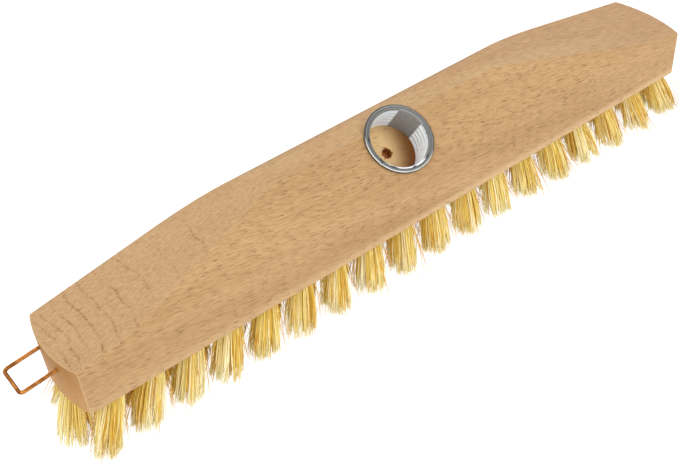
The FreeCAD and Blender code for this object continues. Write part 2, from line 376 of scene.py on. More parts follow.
@dataclass(frozen=True)
class BeechFinish(Finish):
    """Planed bare beech: flecks along the grain, dotted rings on the falling ends, darker end grain.

    Lengths are in millimetres, and each band is the two levels that something fades between.
    """

    # The upper faces are painted lighter than the lower ones, as lit and shaded copies of the same planed
    # wood; the top also darkens towards both ends as painted shade.
    top: Colour = srgb(196, 161, 118)
    top_warm: Colour = srgb(187, 149, 107)
    top_left: Colour = srgb(191, 155, 111)
    side: Colour = srgb(189, 151, 104)
    side_warm: Colour = srgb(176, 138, 92)
    fleck: Colour = srgb(104, 66, 34)
    ring: Colour = srgb(140, 92, 56)
    end_low: Colour = srgb(184, 134, 68)
    end_high: Colour = srgb(165, 111, 38)
    # Lighter colour for wear and painted light, along the bottom of the block and on the rounded corners.
    edge_wear_and_highlight: Colour = srgb(208, 176, 132)
    # Painted light and shadow on the socket floor: the first colour is its lit side, the second the side that
    # the socket wall shades.
    socket_floor_lit: Colour = srgb(224, 187, 132)
    socket_floor_shadow: Colour = srgb(128, 74, 22)
    pilot_patch_colour: Colour = srgb(160, 92, 34)

    half_length: float = 150.0
    underside: float = 24.0
    pilot: Triple = (0.0, 2.2, 45.7)
    socket_axis: Triple = (0.0, -0.559193, 0.829038)

    top_band: Pair = (0.84, 0.97)
    end_band: Pair = (0.5, 0.85)
    corner_band: Pair = (0.25, 0.42)
    corner_strength: float = 0.4
    # Painted shade: where the top darkens towards the right end and towards the left end.
    right_shade_band: Pair = (80.0, 140.0)
    left_shade_band: Pair = (-40.0, -90.0)
    low_band: Pair = (5.0, 1.6)
    low_fade: Pair = (-150.0, 60.0)
    end_grain_band: Pair = (3.0, 18.0)

    grain_fall: Triple = (0.0, 0.08, 0.16)
    grain_strength: float = 0.33
    strong_flecks: Dashes = Dashes((0.14, 2.1, 2.1), 0.45, 0.9)
    faint_flecks: Dashes = Dashes((0.22, 2.8, 2.8), 0.2, 0.65)
    fleck_band: Pair = (0.34, 0.2)
    fleck_fade: Pair = (95.0, 135.0)
    plain_band: Pair = (-60.0, 40.0)
    fleck_dent: float = 0.6

    end_ring: float = 2.1
    ring_growth: float = 0.2
    ring_bow: float = 0.006
    ring_waver: float = 6.0
    ring_band: Pair = (0.75, 0.2)
    ring_fade: Pair = (-50.0, -112.0)
    ring_strength: float = 0.85

    floor_height: Pair = (1.2, 0.8)
    floor_radius: Pair = (13.0, 12.4)
    floor_shadow_band: Pair = (-3.0, 11.0)
    pilot_patch_height: Pair = (4.0, 3.0)
    pilot_patch_radius: Pair = (1.4, 0.5)
    pilot_patch_ragged: float = 2.8
    pilot_patch_dent: float = 1.5

    def along_grain(self, graph: Graph, place: bpy.types.NodeSocket) -> bpy.types.NodeSocket:
        """Skew places so that their X runs along the grain, which falls slightly to the front.

        Args:
            graph: Material's nodes.
            place: Place in millimetres.

        Returns:
            The skewed place.
        """
        x, _, _ = graph.split(place)
        return graph.vector("ADD", place, graph.scaled(self.grain_fall, x))

    def rings(self, graph: Graph, place: bpy.types.NodeSocket) -> bpy.types.NodeSocket:
        """Draw the dotted growth-ring lines that cross the falling ends, wider apart away from the end.

        Args:
            graph: Material's nodes.
            place: Place in millimetres.

        Returns:
            The lines' strength.
        """
        x, y, _ = graph.split(place)
        bow = graph.product(graph.math("POWER", graph.math("ABSOLUTE", y), 2.0), self.ring_bow)
        waver = graph.math("SUBTRACT", graph.noise(place, (0.03, 0.08, 0.0), 1.0), 0.5)
        bent = graph.math("MULTIPLY_ADD", waver, self.ring_waver, bow)
        along = graph.math("SUBTRACT", graph.math("ABSOLUTE", x), bent)
        inward = graph.math("MAXIMUM", graph.math("SUBTRACT", self.half_length, along), 0.0)
        spacing = graph.math("MULTIPLY_ADD", inward, self.ring_growth, self.end_ring)
        count = graph.math("DIVIDE", graph.math("LOGARITHM", spacing, math.e), self.ring_growth)
        offset = graph.math("ABSOLUTE", graph.math("SUBTRACT", graph.math("FRACT", count), 0.5))
        number = graph.math("FLOOR", count)
        chance = graph.add("ShaderNodeTexWhiteNoise", {"W": number}, noise_dimensions="1D").outputs[0]
        return graph.product(
            graph.step(graph.product(offset, spacing), *self.ring_band),
            graph.step(graph.noise(place, (0.8, 1.2, 0.0)), 0.42, 0.6, 0.15, 1.0),
            graph.step(graph.noise(place, (0.11, 0.14, 0.0), 1.0), 0.4, 0.58, 0.25, 1.0),
            graph.step(chance, 0.0, 0.8, 0.35, 1.0),
            graph.step(x, *self.ring_fade, 0.15, 1.0),
        )

    def flecks(self, graph: Graph, grain: bpy.types.NodeSocket) -> bpy.types.NodeSocket:
        """Draw the short dark ray flecks that lie along the grain, many faint and some strong.

        Args:
            graph: Material's nodes.
            grain: Place along the grain, in millimetres.

        Returns:
            The flecks' strength.
        """
        strong = self.scattered(graph, grain, self.strong_flecks)
        faint = self.scattered(graph, grain, self.faint_flecks)
        dense = graph.step(graph.noise(grain, (0.014, 0.12, 0.12), 1.0), 0.34, 0.56, 0.55, 1.0)
        return graph.product(graph.math("MAXIMUM", faint, strong), dense)

    def scattered(self, graph: Graph, grain: bpy.types.NodeSocket, dashes: Dashes) -> bpy.types.NodeSocket:
        """Scatter one kind of fleck over the cells of a stretched pattern.

        Args:
            graph: Material's nodes.
            grain: Place along the grain, in millimetres.
            dashes: The kind of fleck.

        Returns:
            The flecks' strength, each with its own.
        """
        stretched = graph.vector("MULTIPLY", grain, dashes.fineness)
        cells = graph.add("ShaderNodeTexVoronoi", {"Vector": stretched, "Scale": 1.0})
        own, _, _ = graph.split(cells.outputs["Color"])
        dash = graph.step(cells.outputs["Distance"], *self.fleck_band)
        return graph.product(dash, graph.step(own, dashes.bare, 0.95), dashes.strength)

    def in_socket(self, graph: Graph, place: bpy.types.NodeSocket) -> tuple[bpy.types.NodeSocket, ...]:
        """Find the floor of the socket hole and the darker ragged patch round its pilot hole.

        Args:
            graph: Material's nodes.
            place: Place in millimetres.

        Returns:
            The strengths of the floor and of the patch.
        """
        offset = graph.vector("SUBTRACT", place, self.pilot)
        height = graph.vector("DOT_PRODUCT", offset, self.socket_axis)
        level = graph.math("ABSOLUTE", height)
        beside = graph.vector("SUBTRACT", offset, graph.scaled(self.socket_axis, height))
        distance = graph.vector("LENGTH", beside)
        torn = graph.noise(place, (0.8, 0.8, 0.8), 3.0)
        ragged = graph.math("MULTIPLY_ADD", torn, -self.pilot_patch_ragged, distance)
        floor = graph.product(graph.step(level, *self.floor_height), graph.step(distance, *self.floor_radius))
        ragged_patch = graph.step(ragged, *self.pilot_patch_radius)
        return floor, graph.product(ragged_patch, graph.step(level, *self.pilot_patch_height))

    def planed(self, graph: Graph, grain: bpy.types.NodeSocket, x: bpy.types.NodeSocket,
               top: bpy.types.NodeSocket) -> bpy.types.NodeSocket:
        """Colour the planed faces in broad warm stripes along the grain, with painted light and shade.

        Args:
            graph: Material's nodes.
            grain: Place along the grain, in millimetres.
            x: Place along the block.
            top: Strength of the upper faces.

        Returns:
            The faces' colour.
        """
        broad = graph.step(graph.noise(grain, (0.008, 0.07, 0.07), 3.0), 0.32, 0.68)
        # Warm stripes, and painted shade towards the right end of the top.
        warm = graph.math("MAXIMUM", broad, graph.step(x, *self.right_shade_band, 0.0, 0.9))
        # Painted shade towards the left end of the top.
        cool = graph.blend(graph.step(x, *self.left_shade_band), self.top, self.top_left)
        upper = graph.blend(warm, cool, self.top_warm)
        lower = graph.blend(broad, self.side, self.side_warm)
        # Painted light and shade: the upper faces lit, the lower faces shaded.
        return graph.blend(top, lower, upper)

    def paint(self, graph: Graph, shader: bpy.types.Node) -> None:
        """Colour the shader as beech.

        Args:
            graph: Material's nodes.
            shader: The Principled shader.
        """
        place = graph.millimetres()
        grain = self.along_grain(graph, place)
        x, y, height = graph.split(place)
        above = graph.math("SUBTRACT", height, self.underside)
        normal = graph.add("ShaderNodeTexCoord").outputs["Normal"]
        normal_x, normal_y, normal_z = graph.split(normal)
        top = graph.step(normal_z, *self.top_band)
        across = graph.math("ABSOLUTE", normal_x)
        end = graph.step(across, *self.end_band)
        beside = graph.math("MAXIMUM", graph.math("ABSOLUTE", normal_y), graph.math("ABSOLUTE", normal_z))
        # Wear and painted highlight: a lighter line along the rounded corners of the end faces.
        corner = graph.step(graph.product(across, beside), *self.corner_band)

        fine = graph.noise(grain, (0.2, 1.7, 1.7), 3.0)
        floor, pilot_patch = self.in_socket(graph, place)
        plain = graph.product(top, graph.step(x, *self.plain_band, 0.8, 0.45))
        flecks = graph.product(
            self.flecks(graph, grain),
            graph.math("SUBTRACT", 1.0, plain),
            graph.math("SUBTRACT", 1.0, end),
            graph.step(floor, 0.0, 1.0, 1.0, 0.7),
            graph.step(x, *self.fleck_fade, 1.0, 0.25),
        )
        rings = graph.product(self.rings(graph, place), top, self.ring_strength)
        # Wear and painted bounce light: a lighter band along the bottom of the block, stronger towards the
        # right.
        low = graph.product(graph.step(above, *self.low_band), graph.step(x, *self.low_fade, 0.25, 0.65))
        pores = graph.step(graph.noise(place, (0.4, 1.4, 1.4), 3.0), 0.35, 0.7, 0.0, 0.3)
        end_grain = graph.blend(graph.step(above, *self.end_grain_band), self.end_low, self.end_high)
        # Painted shadow: the socket floor darkens towards the right, where the socket wall shades it.
        shade = graph.step(graph.math("MULTIPLY_ADD", y, -0.5, x), *self.floor_shadow_band)

        colour = self.planed(graph, grain, x, top)
        colour = graph.blend(graph.step(fine, 0.35, 0.75, 0.0, self.grain_strength), colour, self.fleck)
        colour = graph.blend(low, colour, self.edge_wear_and_highlight)
        colour = graph.blend(end, colour, graph.blend(pores, end_grain, self.fleck))
        # Lighter corners: wear and a painted highlight.
        colour = graph.blend(graph.product(corner, self.corner_strength), colour, self.edge_wear_and_highlight)
        colour = graph.blend(floor, colour, graph.blend(shade, self.socket_floor_lit, self.socket_floor_shadow))
        colour = graph.blend(flecks, colour, self.fleck)
        colour = graph.blend(rings, colour, self.ring)
        # A darker ragged patch round the pilot hole.
        colour = graph.blend(pilot_patch, colour, self.pilot_patch_colour)

        dents = graph.math("MULTIPLY_ADD", flecks, -self.fleck_dent, fine)
        dents = graph.math("MULTIPLY_ADD", pilot_patch, -self.pilot_patch_dent, dents)
        bump = graph.add("ShaderNodeBump", {"Strength": 0.3, "Distance": 0.1 * MM, "Height": dents})
        graph.feed(shader, {
            "Base Color": colour,
            "Roughness": graph.step(fine, 0.3, 0.7, 0.52, 0.68),
            "Normal": bump.outputs[0],
            "Specular IOR Level": 0.3,
        })


@dataclass(frozen=True)
class Tint:
    """Colour that a point attribute of a metal piece brings in."""

    attribute: str
    colour: Colour


@dataclass(frozen=True)
class MetalFinish(Finish):
    """Metal with cloudy patches, drawing lines, a few dark specks and tints where its piece notes them."""

    bright: Colour
    dull: Colour
    speck: Colour
    smooth: float
    rough: float
    metallic: float = 1.0
    tints: tuple[Tint, ...] = ()
    speck_strength: float = 0.7
    line_strength: float = 0.08
    line_depth: float = 0.05 * MM

    def paint(self, graph: Graph, shader: bpy.types.Node) -> None:
        """Colour the shader as this metal.

        Args:
            graph: Material's nodes.
            shader: The Principled shader.
        """
        mottle = MottleGroup().use(graph)
        colour = graph.blend(mottle["Cloud"], self.bright, self.dull)
        for tint in self.tints:
            colour = graph.blend(graph.attribute(tint.attribute), colour, tint.colour)
        colour = graph.blend(graph.product(mottle["Specks"], self.speck_strength), colour, self.speck)
        bump = graph.add("ShaderNodeBump", {
            "Strength": self.line_strength,
            "Distance": self.line_depth,
            "Height": mottle["Lines"],
        })
        graph.feed(shader, {
            "Base Color": colour,
            "Metallic": self.metallic,
            "Roughness": graph.step(mottle["Lines"], 0.0, 1.0, self.smooth, self.rough),
            "Normal": bump.outputs[0],
        })


@dataclass(frozen=True)
class FibreFinish(Finish):
    """Straw-coloured plant fibre, golden at the roots and pale at the tips, each fibre in its own tone.

    The fibres glow faintly from the root, fading out towards the tips, as painted light that keeps the inside
    of a tuft bright. Each band is a pair of places along a fibre, whose root is at 0 and whose tip is at 1.
    """

    tone_attribute: str = "tone"
    along_attribute: str = "along"
    straw: tuple[tuple[float, Colour], ...] = (
        (0.0, srgb(170, 100, 24)),
        (0.12, srgb(212, 154, 40)),
        (0.35, srgb(228, 197, 94)),
        (0.6, srgb(240, 224, 148)),
        (0.85, srgb(249, 238, 190)),
        (1.0, srgb(252, 246, 218)),
    )
    root: Colour = srgb(216, 190, 96)
    tip: Colour = srgb(223, 210, 162)
    glow: Colour = srgb(214, 176, 72)
    unlit: Colour = srgb(0, 0, 0)
    root_band: Pair = (0.75, 0.2)
    tip_band: Pair = (0.65, 1.0)
    glow_band: Pair = (0.5, 1.0)
    root_strength: float = 0.4
    tip_strength: float = 0.5
    streak_strength: float = 0.35
    painted_glow: float = 0.08

    def paint(self, graph: Graph, shader: bpy.types.Node) -> None:
        """Colour the shader as plant fibre.

        Args:
            graph: Material's nodes.
            shader: The Principled shader.
        """
        tone = graph.attribute(self.tone_attribute)
        along = graph.attribute(self.along_attribute)
        streak = graph.noise(graph.millimetres(), (1.5, 1.5, 0.15))
        mixed = graph.math("MULTIPLY_ADD", graph.math("SUBTRACT", streak, 0.5), self.streak_strength, tone)
        colour = graph.ramp(mixed, self.straw)
        colour = graph.blend(graph.step(along, *self.root_band, 0.0, self.root_strength), colour, self.root)
        colour = graph.blend(graph.step(along, *self.tip_band, 0.0, self.tip_strength), colour, self.tip)
        graph.feed(shader, {
            "Base Color": colour,
            "Roughness": graph.step(streak, 0.3, 0.7, 0.6, 0.75),
            "Specular IOR Level": 0.05,
            # Painted glow: the fibres emit a faint golden light, fading out towards the tips.
            "Emission Color": graph.blend(graph.step(along, *self.glow_band), self.glow, self.unlit),
            "Emission Strength": self.painted_glow,
        })


class Modelling:
    """Small steps that every modelled piece shares."""

    @staticmethod
    def start() -> None:
        """Deselect every object."""
        bpy.ops.object.select_all(action="DESELECT")

    @staticmethod
    def outward(piece: bpy.types.Object) -> None:
        """Turn a closed mesh's faces outward.

        Args:
            piece: Mesh object.
        """
        Modelling.start()
        bpy.context.view_layer.objects.active = piece
        piece.select_set(True)
        bpy.ops.object.mode_set(mode="EDIT")
        bpy.ops.mesh.select_all(action="SELECT")
        bpy.ops.mesh.normals_make_consistent(inside=False)
        bpy.ops.object.mode_set(mode="OBJECT")

    @staticmethod
    def places(mesh: bpy.types.Mesh) -> np.ndarray:
        """Read a mesh's points.

        Args:
            mesh: Mesh to read.

        Returns:
            Array of points by coordinates.
        """
        flat = np.empty(len(mesh.vertices) * 3)
        mesh.vertices.foreach_get("co", flat)
        return flat.reshape(-1, 3)

    @staticmethod
    def note(mesh: bpy.types.Mesh, name: str, values: np.ndarray) -> None:
        """Store one number for each point of a mesh.

        Args:
            mesh: Mesh that takes the numbers.
            name: Name that the material reads.
            values: One number for each point.
        """
        mesh.attributes.new(name, "FLOAT", "POINT").data.foreach_set("value", values.astype(np.float32))


@dataclass
class BeechBlock:
    """The block keeps its CAD shape and gets the beech finish."""

    node: str = "beech_block"
    finish: BeechFinish = field(default_factory=lambda: BeechFinish("beech"))

    def dress(self, nodes: Mapping[str, bpy.types.Object]) -> None:
        """Finish the CAD node.

        Args:
            nodes: CAD nodes by name.
        """
        block = nodes[self.node]
        self.finish.dress(block)


@dataclass
class ThreadedSocket:
    """Sheet-metal screw socket with a rolled rim, a rolled thread and a plain lapped strip where the sheet
    meets.

    Pairs of degrees are the ends of an arc round the socket's axis, and each stain has its middle and its
    half width.
    """

    node: str = "threaded_socket"
    seat: Triple = (0.0, -5.4 * MM, 56.9988 * MM)
    tilt_degrees: float = 34.0
    bore: float = 11.7 * MM
    sheet: float = 0.7 * MM
    depth: float = 13.5 * MM
    rim_radius: float = 14.1 * MM
    rim_height: float = 1.4 * MM
    rim_throat: float = 0.9 * MM
    rim_groove: Pair = (0.12 * MM, 0.22 * MM)
    roll_start: float = -0.5
    pitch: float = 2.6 * MM
    thread_depth: float = 0.55 * MM
    rise_share: float = 0.8
    fade_share: float = 0.4
    groove_shade_band: Pair = (0.68, 0.88)
    lap_degrees: Pair = (4.0, 54.0)
    notch_degrees: float = 202.0
    notch_half_degrees: float = 1.5
    notch_depth: float = 0.5 * MM
    lip_highlight_degrees: Pair = (150.0, 312.0)
    lip_highlight_width: float = 0.5 * MM
    outline_shadow_width: Pair = (0.2 * MM, 0.6 * MM)
    shaded_crease_width: float = 0.3 * MM
    throat_reflection_degrees: Pair = (205.0, 300.0)
    stains: tuple[Pair, ...] = ((157, 5), (200, 4), (224, 6), (263, 4), (296, 5))
    stain_peak: float = 1.5
    close: float = 0.01 * MM
    wall_rows: int = 72
    turns: int = 180
    finish: MetalFinish = field(default_factory=lambda: MetalFinish(
        "tinned_steel", srgb(248, 253, 255), srgb(240, 247, 255), srgb(60, 56, 52), 0.26, 0.4, 0.05, (
            # Painted shade in the thread grooves.
            Tint("groove", srgb(66, 67, 72)),
            # Painted dark reflection on the rim.
            Tint("rim", srgb(104, 105, 102)),
            # Painted dark reflection on the plain lapped strip inside the socket.
            Tint("lap_and_dark_reflection", srgb(140, 139, 139)),
            # Painted shade in the crease where the throat meets the flat rim.
            Tint("shaded_crease", srgb(74, 75, 74)),
            # Painted highlight along the outer rolled edge of the rim.
            Tint("lip_highlight", srgb(216, 216, 210)),
            # Painted shadow line round the rim's outer edge.
            Tint("outline_shadow", srgb(56, 55, 51)),
            Tint("stain", srgb(34, 31, 28)),
        )))

    def section(self) -> np.ndarray:
        """Work out the closed section of the wall and the rim.

        Returns:
            Points of radius and height, once round.
        """
        foot = -self.depth
        throat_start = self.rim_height - self.rim_throat
        wall = [(self.bore, z) for z in np.linspace(foot, throat_start, self.wall_rows)]
        throat_radius = self.bore + self.rim_throat
        quarter = np.linspace(0, math.pi / 2, 8)[1:]
        inward, upward = self.rim_throat * np.cos(quarter), self.rim_throat * np.sin(quarter)
        throat = list(zip(throat_radius - inward, throat_start + upward))
        roll = self.rim_height / 2
        roll_middle = (self.rim_radius - roll, roll)
        groove = [(throat_radius + self.rim_groove[0], self.rim_height - self.rim_groove[1])]
        bead = [(roll_middle[0] + roll * math.sin(a), roll_middle[1] + roll * math.cos(a))
                for a in np.linspace(self.roll_start, math.pi, 16)]
        outer = [(self.bore + self.sheet, z) for z in np.linspace(0.0, foot, 12)]
        return np.array(wall + throat + groove + bead + outer)

    @staticmethod
    def arc(angle: np.ndarray, ends: Pair, soft: float = 18.0) -> np.ndarray:
        """Fade in and out between two angles.

        Args:
            angle: Angles in degrees.
            ends: Angles where the fade begins and ends.
            soft: Degrees that each fade takes.

        Returns:
            One inside the arc and zero outside it.
        """
        return np.clip((angle - ends[0]) / soft, 0, 1) * np.clip((ends[1] - angle) / soft, 0, 1)

    def thread(self, places: np.ndarray) -> Mapping[str, np.ndarray]:
        """Press the thread, whose turns widen upward, into the inner wall and the notch into the rim.

        Args:
            places: Points of the plain lathed socket, upright at the origin; they are changed in place.

        Returns:
            Strength of each tint at each point, mostly painted light and shade.
        """
        radius = np.hypot(places[:, 0], places[:, 1])
        angle = np.degrees(np.arctan2(places[:, 1], places[:, 0])) % 360
        height = places[:, 2].copy()
        inner = radius < self.bore + self.close
        first, last = self.lap_degrees
        # The lapped strip keeps no thread and is tinted darker as a painted dark reflection.
        lap_and_dark_reflection = (angle > first) & (angle < last) & (radius < self.bore + 0.5 * self.rim_throat)
        soft = self.fade_share * self.pitch
        fade = np.clip(-height / soft, 0, 1) * np.clip((height + self.depth) / soft, 0, 1)
        turn = (height / self.pitch - angle / 360) % 1
        slope = np.minimum(turn / self.rise_share, (1 - turn) / (1 - self.rise_share))
        widened = np.where(inner & ~lap_and_dark_reflection, slope * fade, 0)
        places[:, :2] *= (1 + self.thread_depth * widened / radius)[:, None]
        beside = np.abs(angle - self.notch_degrees)
        notch = (height > 0.5 * self.rim_height) & (beside < self.notch_half_degrees)
        places[notch, 2] -= self.notch_depth
        rim = ~inner & (height > 0.0)
        throat = self.bore + self.rim_throat
        flat = radius > throat - 2 * self.close
        # The lit arc, where the outer rolled edge gets a painted highlight.
        lit = self.arc(angle, self.lip_highlight_degrees)
        stain = sum(np.clip(self.stain_peak - np.abs(angle - middle) / half, 0, 1)
                    for middle, half in self.stains)
        # Painted shade in the crease where the throat meets the flat rim; the stains lie there too.
        shaded_crease = radius < throat + self.shaded_crease_width
        low, high = self.groove_shade_band
        return {
            # Painted shade in the deepest part of each thread groove.
            "groove": np.clip((widened - low) / (high - low), 0, 1),
            "lap_and_dark_reflection": lap_and_dark_reflection * 1.0,
            # Painted dark reflection on the rim, left off over the throat arc, which stays bright as a
            # painted reflection.
            "rim": rim * np.where(flat, 1.0, 1 - self.arc(angle, self.throat_reflection_degrees)),
            "shaded_crease": rim * flat * shaded_crease,
            "lip_highlight": rim * (radius > self.rim_radius - self.lip_highlight_width) * lit,
            # Painted shadow line round the rim's outer edge, thinner on the lit arc.
            "outline_shadow": rim * (radius > self.rim_radius - np.where(lit > 0, *self.outline_shadow_width)),
            "stain": rim * (radius > self.bore + 0.4 * self.rim_throat) * shaded_crease * stain,
        }

    def build(self) -> bpy.types.Object:
        """Model the socket in place of its CAD node.

        Returns:
            The finished piece.
        """
        section = self.section()
        Modelling.start()
        bpy.ops.mesh.primitive_circle_add(vertices=len(section), radius=self.bore, fill_type="NOTHING")
        piece = bpy.context.object
        piece.name = "socket_shell"
        points = np.column_stack((section[:, 0], np.zeros(len(section)), section[:, 1]))
        piece.data.vertices.foreach_set("co", points.ravel())
        lathe = piece.modifiers.new("Lathe", "SCREW")
        lathe.axis = "Z"
        lathe.steps = self.turns
        lathe.render_steps = self.turns
        lathe.use_merge_vertices = True
        lathe.merge_threshold = 0.001 * MM
        bpy.ops.object.modifier_apply(modifier=lathe.name)
        Modelling.outward(piece)
        places = Modelling.places(piece.data)
        tints = self.thread(places)
        tilt = Matrix.Rotation(math.radians(self.tilt_degrees), 3, "X")
        places = places @ np.array(tilt).T + np.array(self.seat)
        piece.data.vertices.foreach_set("co", places.ravel())
        for name, strength in tints.items():
            Modelling.note(piece.data, name, strength)
        piece.data.update()
        piece.data.shade_smooth()
        self.finish.dress(piece)
        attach(piece, BODY)
        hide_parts(self.node)
        return piece


@dataclass
class WireWork:
    """The hanging loop and the hidden staples keep their CAD shapes and get their metal finishes."""

    loop: str = "hanging_loop"
    staples: str = "tuft_staples"
    copper: MetalFinish = field(default_factory=lambda: MetalFinish(
        "copper_wire", srgb(176, 116, 56), srgb(124, 74, 32), srgb(80, 44, 20), 0.2, 0.36))
    steel: MetalFinish = field(default_factory=lambda: MetalFinish(
        "staple_wire", srgb(190, 190, 188), srgb(150, 150, 148), srgb(90, 84, 78), 0.25, 0.45))

    def dress(self, nodes: Mapping[str, bpy.types.Object]) -> None:
        """Finish the CAD nodes.

        Args:
            nodes: CAD nodes by name.
        """
        for name, finish, slot in (
            (self.loop, self.copper, Slot.COPPER_WIRE),
            (self.staples, self.steel, Slot.STAPLE_WIRE),
        ):
            finish.dress(nodes[name])


@dataclass
class FibreBlank:
    """One straight fibre of unit length and radius, modelled once and bent into every fibre."""

    sides: int = 4
    steps: int = 6
    tip_share: float = 0.5

    def build(self) -> tuple[np.ndarray, list[tuple[int, ...]]]:
        """Model the fibre by pulling a small ring upward.

        Returns:
            The fibre's points and its faces.
        """
        Modelling.start()
        bpy.ops.mesh.primitive_circle_add(vertices=self.sides, radius=1.0, fill_type="NGON")
        piece = bpy.context.object
        bpy.ops.object.mode_set(mode="EDIT")
        bpy.ops.mesh.select_all(action="SELECT")
        for _ in range(self.steps):
            bpy.ops.mesh.extrude_region_move(TRANSFORM_OT_translate={"value": (0, 0, 1 / self.steps)})
        bpy.ops.transform.resize(value=(self.tip_share, self.tip_share, 1))
        bpy.ops.object.mode_set(mode="OBJECT")
        Modelling.outward(piece)
        points = Modelling.places(piece.data)
        faces = [tuple(face.vertices) for face in piece.data.polygons]
        bpy.data.meshes.remove(piece.data)
        return points, faces


@dataclass(frozen=True)
class TuftPlan:
    """Where one tuft stands and how its fibres fall.

    The place is along X and Y, the lean is how far the tips' middle leaves the hole's middle, the spread is
    the tips' radius, and the tone changes over the whole tuft and across it along X and Y.
    """

    name: str
    place: Pair
    lean: Pair
    spread: float
    tone: Triple
    stray_tone: float = 0.0


@dataclass
class Tufts:
    """Three rows of tufts of loose fibres, each in place of its CAD solid.

    A pair for the ends names the left end, at minus X, first. Tones run from 0, brown, to 1, pale.
    """

    row_spacing: float = 12.0 * MM
    outer_end: float = 135.8 * MM
    row_shift: float = 1.8 * MM
    row_end: float = 142.0 * MM
    outer_count: int = 18
    underside: float = 24.0 * MM
    sunk: float = 3.0 * MM

    root_radius: float = 3.8 * MM
    tip_radius: float = 6.4 * MM
    middle_tip_radius: float = 5.6 * MM
    end_tip_radius: Pair = (9.5 * MM, 8.0 * MM)
    end_lean: Pair = (10.5 * MM, 12.5 * MM)
    middle_end_lean: Pair = (4.8 * MM, 8.8 * MM)
    last_lean: tuple[Pair, Pair] = ((-5.8 * MM, -3.0 * MM), (2.3 * MM, 0.0))
    row_lean: float = 1.5 * MM
    corner_splay: float = 2.2 * MM

    clumps: int = 16
    fibres: int = 330
    strays: int = 20
    gather: Pair = (0.1, 0.7)
    stray_reach: Pair = (0.9, 1.7)
    thickness: Pair = (0.11 * MM, 0.2 * MM)
    stray_thickness: Pair = (0.08 * MM, 0.16 * MM)
    tip_waver: float = 0.45 * MM
    bow: float = 0.6 * MM
    fall_power: float = 0.95
    uneven: float = 0.45 * MM
    clump_uneven: float = 0.4 * MM
    stray_uneven: float = 5.0 * MM
    lowest_tip: float = 0.1 * MM
    highest_tip: float = 14 * MM

    fibre_tone: Pair = (0.61, 0.2)
    clump_tone: float = 0.14
    # Painted shade: fibres near the middle of a tuft are darker.
    inner_shade_tone: float = -0.3
    tone_limits: Pair = (0.1, 1.0)
    # Painted shade: tone shifts that darken the middle row and the sides of the outer rows that face it.
    middle_shade_tone: float = -0.34
    facing_shade_share: float = 0.25
    stray_tone: Pair = (0.0, 0.22)
    end_stray_tone: float = 0.5
    seed: int = 20
    finish: FibreFinish = field(default_factory=lambda: FibreFinish("straw_fibre"))

    def bent(self, blank: np.ndarray, plan: TuftPlan,
             chance: np.random.Generator) -> tuple[np.ndarray, np.ndarray, np.ndarray]:
        """Bend copies of the blank fibre into one tuft.

        Args:
            blank: Points of the straight fibre.
            plan: The tuft's place and fall.
            chance: Seeded random numbers.

        Returns:
            The points of all fibres, and each point's tone and place along its fibre.
        """
        count = self.fibres + self.strays
        stray = np.arange(count) >= self.fibres
        spot = self.in_disc(count, chance)
        clump = self.in_disc(self.clumps, chance)
        nearest = np.argmin(np.linalg.norm(spot[:, None] - clump[None], axis=2), axis=1)
        reach = np.linalg.norm(spot, axis=1)

        gathered = spot + (clump[nearest] - spot) * chance.uniform(*self.gather, count)[:, None]
        away = spot / reach[:, None] * chance.uniform(*self.stray_reach, count)[:, None]
        fallen = np.where(stray[:, None], away * self.tip_radius, gathered * plan.spread)
        root = np.array(plan.place) + spot * self.root_radius
        tip = np.add(plan.place, plan.lean) + fallen + chance.normal(0, self.tip_waver, (count, 2))
        bow = chance.normal(0, self.bow, (count, 2))
        clump_level = np.where(stray, 0.0, chance.exponential(self.clump_uneven, self.clumps)[nearest])
        own_level = chance.exponential(np.where(stray, self.stray_uneven, self.uneven))
        level = np.minimum(own_level + clump_level + self.lowest_tip, self.highest_tip)
        thin = chance.uniform(*self.stray_thickness, count)
        radius = np.where(stray, thin, chance.uniform(*self.thickness, count))[:, None]
        turn = chance.uniform(0, 2 * math.pi, count)[:, None]

        clump_tone = chance.normal(0, self.clump_tone, self.clumps)[nearest]
        # Painted shade: fibres near the middle of each tuft get a darker tone.
        tone = chance.normal(*self.fibre_tone, count) + clump_tone + self.inner_shade_tone * (1 - reach)
        tone = np.clip(tone + plan.tone[0] + spot @ plan.tone[1:], *self.tone_limits)
        tone = np.where(stray, chance.uniform(*self.stray_tone, count) + plan.stray_tone, tone)

        wide, deep, along = blank.T
        top = self.underside + self.sunk
        centre = root[:, None] + (tip - root)[:, None] * (along ** self.fall_power)[:, None]
        centre = centre + bow[:, None] * np.sin(math.pi * along)[:, None]
        points = np.empty((count, len(blank), 3))
        points[:, :, 0] = centre[:, :, 0] - (wide * np.cos(turn) + deep * np.sin(turn)) * radius
        points[:, :, 1] = centre[:, :, 1] - (wide * np.sin(turn) - deep * np.cos(turn)) * radius
        points[:, :, 2] = top + (level - top)[:, None] * along
        return points.reshape(-1, 3), np.repeat(tone, len(blank)), np.tile(along, count)

    @staticmethod
    def in_disc(count: int, chance: np.random.Generator) -> np.ndarray:
        """Scatter places evenly over a disc of radius one.

        Args:
            count: Number of places.
            chance: Seeded random numbers.

        Returns:
            Places by X and Y.
        """
        angle = chance.uniform(0, 2 * math.pi, count)
        reach = np.sqrt(chance.uniform(0, 1, count))
        return np.stack((np.cos(angle), np.sin(angle)), axis=1) * reach[:, None]

    def plans(self) -> Iterable[TuftPlan]:
        """List the tufts; the middle row and tuft sides facing other tufts get darker brown painted shade.

        Yields:
            Each tuft's plan.
        """
        outer = np.linspace(-self.outer_end, self.outer_end, self.outer_count) + self.row_shift
        staggered = (outer[1:] + outer[:-1]) / 2
        middle = np.concatenate(([-self.row_end], staggered, [self.row_end]))
